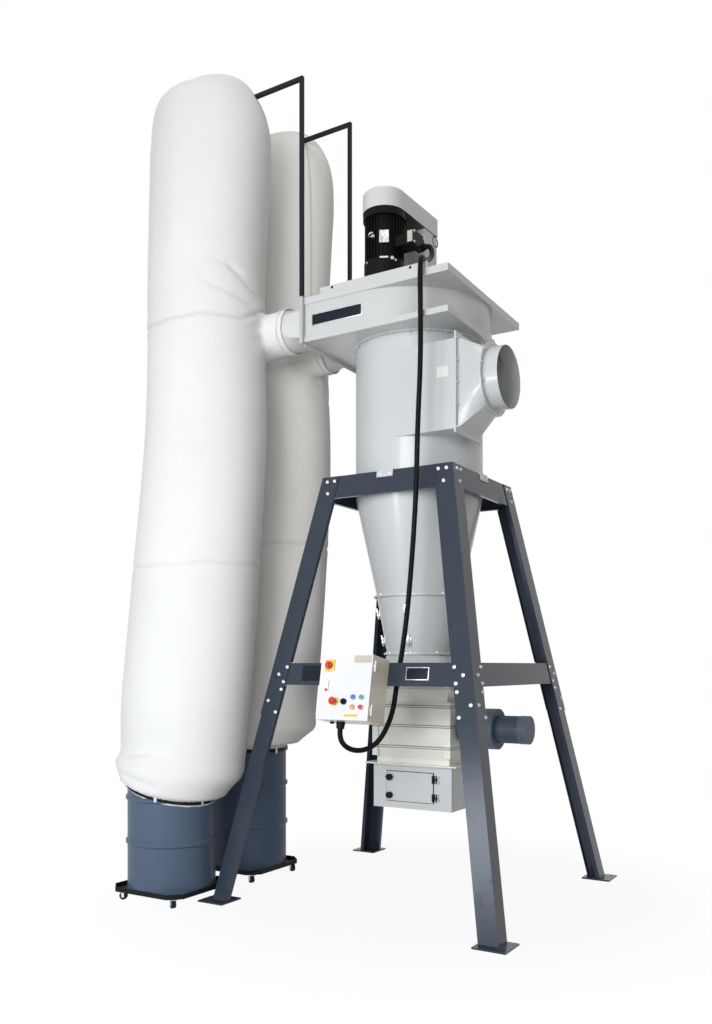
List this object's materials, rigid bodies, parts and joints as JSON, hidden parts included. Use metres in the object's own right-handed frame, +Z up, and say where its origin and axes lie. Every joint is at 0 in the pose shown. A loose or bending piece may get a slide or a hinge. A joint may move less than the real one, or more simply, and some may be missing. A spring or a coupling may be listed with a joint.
{
  "type": "cyclone separator",
  "caption": "Industrial cyclone dust separator on a splayed steel stand, with a top fan, rotary airlock, tall filter bags over wheeled drums and a control cabinet.",
  "frame": {"origin": "on the floor, under the cyclone's axis, at the centre of the four anchor holes", "axes": "+X towards the dust inlet and the airlock's gear motor, +Y to the back, +Z up; the control cabinet is on the front, towards -Y"},
  "size_m": [2.7883, 2.3876, 5.525],
  "materials": {
    "stand_paint": "gloss",
    "shell_paint": "gloss",
    "fan_paint": "gloss",
    "guard_paint": "gloss",
    "motor_paint": "satin",
    "gearmotor_paint": "satin",
    "zinc": "satin",
    "hanger_paint": "satin",
    "bag_cloth": "matte",
    "band_cloth": "matte",
    "drum_paint": "satin",
    "dolly_paint": "satin",
    "cabinet_paint": "satin",
    "conduit_sheath": "matte",
    "caster_zinc": "satin",
    "caster_tyre": "matte"
  },
  "bodies": {
    "plant": {"lower_leg_front_left": "stand_paint", "lower_leg_front_right": "stand_paint", "lower_leg_back_left": "stand_paint", "lower_leg_back_right": "stand_paint", "upper_leg_front_left": "stand_paint", "upper_leg_front_right": "stand_paint", "upper_leg_back_left": "stand_paint", "upper_leg_back_right": "stand_paint", "mid_rail_front": "stand_paint", "mid_rail_back": "stand_paint", "mid_rail_left": "stand_paint", "mid_rail_right": "stand_paint", "top_rails": "stand_paint", "barrel": "shell_paint", "upper_cone": "shell_paint", "lower_cone": "shell_paint", "hopper": "shell_paint", "vortex_tube": "shell_paint", "inlet_duct": "shell_paint", "inlet_transition": "shell_paint", "airlock": "shell_paint", "discharge_box": "shell_paint", "fan_base": "fan_paint", "fan_scroll": "fan_paint", "fan_lid": "fan_paint", "bearing_stand": "fan_paint", "belt_guard": "guard_paint", "drive_motor": "motor_paint", "gearmotor": "gearmotor_paint", "outlet_branches": "zinc", "hanger_front": "hanger_paint", "hanger_back": "hanger_paint", "filter_bag_front": "bag_cloth", "filter_bag_back": "bag_cloth", "sleeve_bands": "band_cloth", "drum_front": "drum_paint", "drum_back": "drum_paint", "dolly_front": "dolly_paint", "dolly_back": "dolly_paint", "control_cabinet": "cabinet_paint", "conduit": "conduit_sheath"},
    "inspection_door": {"discharge_door": "shell_paint"},
    "cabinet_front": {"cabinet_door": "cabinet_paint"},
    "fork_front_front_left": {"caster_fork_front_front_left": "caster_zinc"},
    "wheel_front_front_left": {"caster_wheel_front_front_left": "caster_tyre"},
    "fork_front_front_right": {"caster_fork_front_front_right": "caster_zinc"},
    "wheel_front_front_right": {"caster_wheel_front_front_right": "caster_tyre"},
    "fork_front_back_left": {"caster_fork_front_back_left": "caster_zinc"},
    "wheel_front_back_left": {"caster_wheel_front_back_left": "caster_tyre"},
    "fork_front_back_right": {"caster_fork_front_back_right": "caster_zinc"},
    "wheel_front_back_right": {"caster_wheel_front_back_right": "caster_tyre"},
    "fork_back_front_left": {"caster_fork_back_front_left": "caster_zinc"},
    "wheel_back_front_left": {"caster_wheel_back_front_left": "caster_tyre"},
    "fork_back_front_right": {"caster_fork_back_front_right": "caster_zinc"},
    "wheel_back_front_right": {"caster_wheel_back_front_right": "caster_tyre"},
    "fork_back_back_left": {"caster_fork_back_back_left": "caster_zinc"},
    "wheel_back_back_left": {"caster_wheel_back_back_left": "caster_tyre"},
    "fork_back_back_right": {"caster_fork_back_back_right": "caster_zinc"},
    "wheel_back_back_right": {"caster_wheel_back_back_right": "caster_tyre"}
  },
  "joints": [
    {"name": "inspection_door_hinge", "type": "hinge", "parent": "plant", "child": "inspection_door", "pos_m": [0.181, -0.142, 0.699], "axis": [0, 0, 1], "range_deg": [0, 120]},
    {"name": "cabinet_front_hinge", "type": "hinge", "parent": "plant", "child": "cabinet_front", "pos_m": [0.163, -0.89442, 1.37153], "axis": [0, 0.1849, 0.9828], "range_deg": [0, 110]},
    {"name": "swivel_front_front_left", "type": "hinge", "parent": "plant", "child": "fork_front_front_left", "pos_m": [-1.508, -1.252, 0.059], "axis": [0, 0, 1], "continuous": true},
    {"name": "roll_front_front_left", "type": "hinge", "parent": "fork_front_front_left", "child": "wheel_front_front_left", "pos_m": [-1.49169, -1.24439, 0.025], "axis": [-0.4226, 0.9063, 0], "continuous": true},
    {"name": "swivel_front_front_right", "type": "hinge", "parent": "plant", "child": "fork_front_front_right", "pos_m": [-1.052, -1.252, 0.059], "axis": [0, 0, 1], "continuous": true},
    {"name": "roll_front_front_right", "type": "hinge", "parent": "fork_front_front_right", "child": "wheel_front_front_right", "pos_m": [-1.06891, -1.24584, 0.025], "axis": [-0.342, -0.9397, 0], "continuous": true},
    {"name": "swivel_front_back_left", "type": "hinge", "parent": "plant", "child": "fork_front_back_left", "pos_m": [-1.508, -0.796, 0.059], "axis": [0, 0, 1], "continuous": true},
    {"name": "roll_front_back_left", "type": "hinge", "parent": "fork_front_back_left", "child": "wheel_front_back_left", "pos_m": [-1.51416, -0.81291, 0.025], "axis": [0.9397, -0.342, 0], "continuous": true},
    {"name": "swivel_front_back_right", "type": "hinge", "parent": "plant", "child": "fork_front_back_right", "pos_m": [-1.052, -0.796, 0.059], "axis": [0, 0, 1], "continuous": true},
    {"name": "roll_front_back_right", "type": "hinge", "parent": "fork_front_back_right", "child": "wheel_front_back_right", "pos_m": [-1.03569, -0.80361, 0.025], "axis": [0.4226, 0.9063, 0], "continuous": true},
    {"name": "swivel_back_front_left", "type": "hinge", "parent": "plant", "child": "fork_back_front_left", "pos_m": [-1.508, -0.462, 0.059], "axis": [0, 0, 1], "continuous": true},
    {"name": "roll_back_front_left", "type": "hinge", "parent": "fork_back_front_left", "child": "wheel_back_front_left", "pos_m": [-1.49169, -0.45439, 0.025], "axis": [-0.4226, 0.9063, 0], "continuous": true},
    {"name": "swivel_back_front_right", "type": "hinge", "parent": "plant", "child": "fork_back_front_right", "pos_m": [-1.052, -0.462, 0.059], "axis": [0, 0, 1], "continuous": true},
    {"name": "roll_back_front_right", "type": "hinge", "parent": "fork_back_front_right", "child": "wheel_back_front_right", "pos_m": [-1.06891, -0.45584, 0.025], "axis": [-0.342, -0.9397, 0], "continuous": true},
    {"name": "swivel_back_back_left", "type": "hinge", "parent": "plant", "child": "fork_back_back_left", "pos_m": [-1.508, -0.006, 0.059], "axis": [0, 0, 1], "continuous": true},
    {"name": "roll_back_back_left", "type": "hinge", "parent": "fork_back_back_left", "child": "wheel_back_back_left", "pos_m": [-1.51416, -0.02291, 0.025], "axis": [0.9397, -0.342, 0], "continuous": true},
    {"name": "swivel_back_back_right", "type": "hinge", "parent": "plant", "child": "fork_back_back_right", "pos_m": [-1.052, -0.006, 0.059], "axis": [0, 0, 1], "continuous": true},
    {"name": "roll_back_back_right", "type": "hinge", "parent": "fork_back_back_right", "child": "wheel_back_back_right", "pos_m": [-1.03569, -0.01361, 0.025], "axis": [0.4226, 0.9063, 0], "continuous": true}
  ]
}
